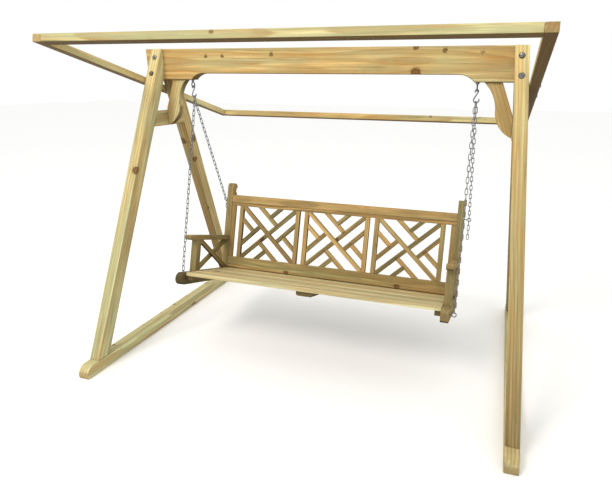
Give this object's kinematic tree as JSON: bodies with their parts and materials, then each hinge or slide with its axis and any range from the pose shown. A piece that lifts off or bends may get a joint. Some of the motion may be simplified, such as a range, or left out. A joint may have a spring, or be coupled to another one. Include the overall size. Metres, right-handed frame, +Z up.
{
  "type": "garden swing",
  "caption": "Timber garden swing: splayed A-frame with a bare tilted canopy frame and a lattice-backed bench hung by chains from an arched top beam.",
  "frame": {"origin": "on the ground, at the middle of the plan of the whole swing, canopy frame included", "axes": "+X along the beam to the right of someone who faces the seat, +Y to the back, +Z up"},
  "size_m": [2.5314, 1.7508, 1.9261],
  "materials": {
    "frame_timber": "planed pressure-treated softwood, unpainted",
    "bench_timber": "planed treated softwood, weathered olive brown",
    "zinc_steel": "bright zinc plate"
  },
  "bodies": {
    "frame": {"canopy_back_rail": "frame_timber", "canopy_front_rail": "frame_timber", "canopy_left_rail": "frame_timber", "canopy_right_rail": "frame_timber", "canopy_screws": "zinc_steel", "eye_bolt_nuts": "zinc_steel", "eye_bolt_washers": "zinc_steel", "foot_bolts": "zinc_steel", "left_collar": "frame_timber", "left_eye_bolt": "zinc_steel", "left_foot_runner": "frame_timber", "left_front_leg": "frame_timber", "left_knee_brace": "frame_timber", "left_rear_leg": "frame_timber", "leg_bolt_nuts": "zinc_steel", "leg_bolt_washers": "zinc_steel", "lower_leg_bolts": "zinc_steel", "right_collar": "frame_timber", "right_eye_bolt": "zinc_steel", "right_foot_runner": "frame_timber", "right_front_leg": "frame_timber", "right_knee_brace": "frame_timber", "right_rear_leg": "frame_timber", "top_beam": "frame_timber", "upper_leg_bolts": "zinc_steel"},
    "swing": {"back_bottom_rail": "bench_timber", "back_end_stiles": "bench_timber", "back_eye_bolts": "zinc_steel", "back_head_strip": "bench_timber", "back_top_rail": "bench_timber", "left_arm_post": "bench_timber", "left_armrest": "bench_timber", "left_back_chain": "zinc_steel", "left_chain_tail": "zinc_steel", "left_falling_cross_bar": "bench_timber", "left_front_chain": "zinc_steel", "left_hook": "zinc_steel", "left_lattice_panel": "bench_timber", "left_rear_post": "bench_timber", "left_rising_cross_bar": "bench_timber", "left_seat_rail": "bench_timber", "middle_lattice_panel": "bench_timber", "right_arm_post": "bench_timber", "right_armrest": "bench_timber", "right_back_chain": "zinc_steel", "right_chain_tail": "zinc_steel", "right_falling_cross_bar": "bench_timber", "right_front_chain": "zinc_steel", "right_hook": "zinc_steel", "right_lattice_panel": "bench_timber", "right_rear_post": "bench_timber", "right_rising_cross_bar": "bench_timber", "right_seat_rail": "bench_timber", "seat_centre_bearer": "bench_timber", "seat_cleats": "bench_timber", "seat_eye_bolts": "zinc_steel", "seat_slats": "bench_timber"}
  },
  "joints": [
    {"name": "bench_swing", "type": "hinge", "parent": "frame", "child": "swing", "pos_m": [0, 0, 1.6885], "axis": [1, 0, 0], "range_deg": [-25, 25]}
  ]
}
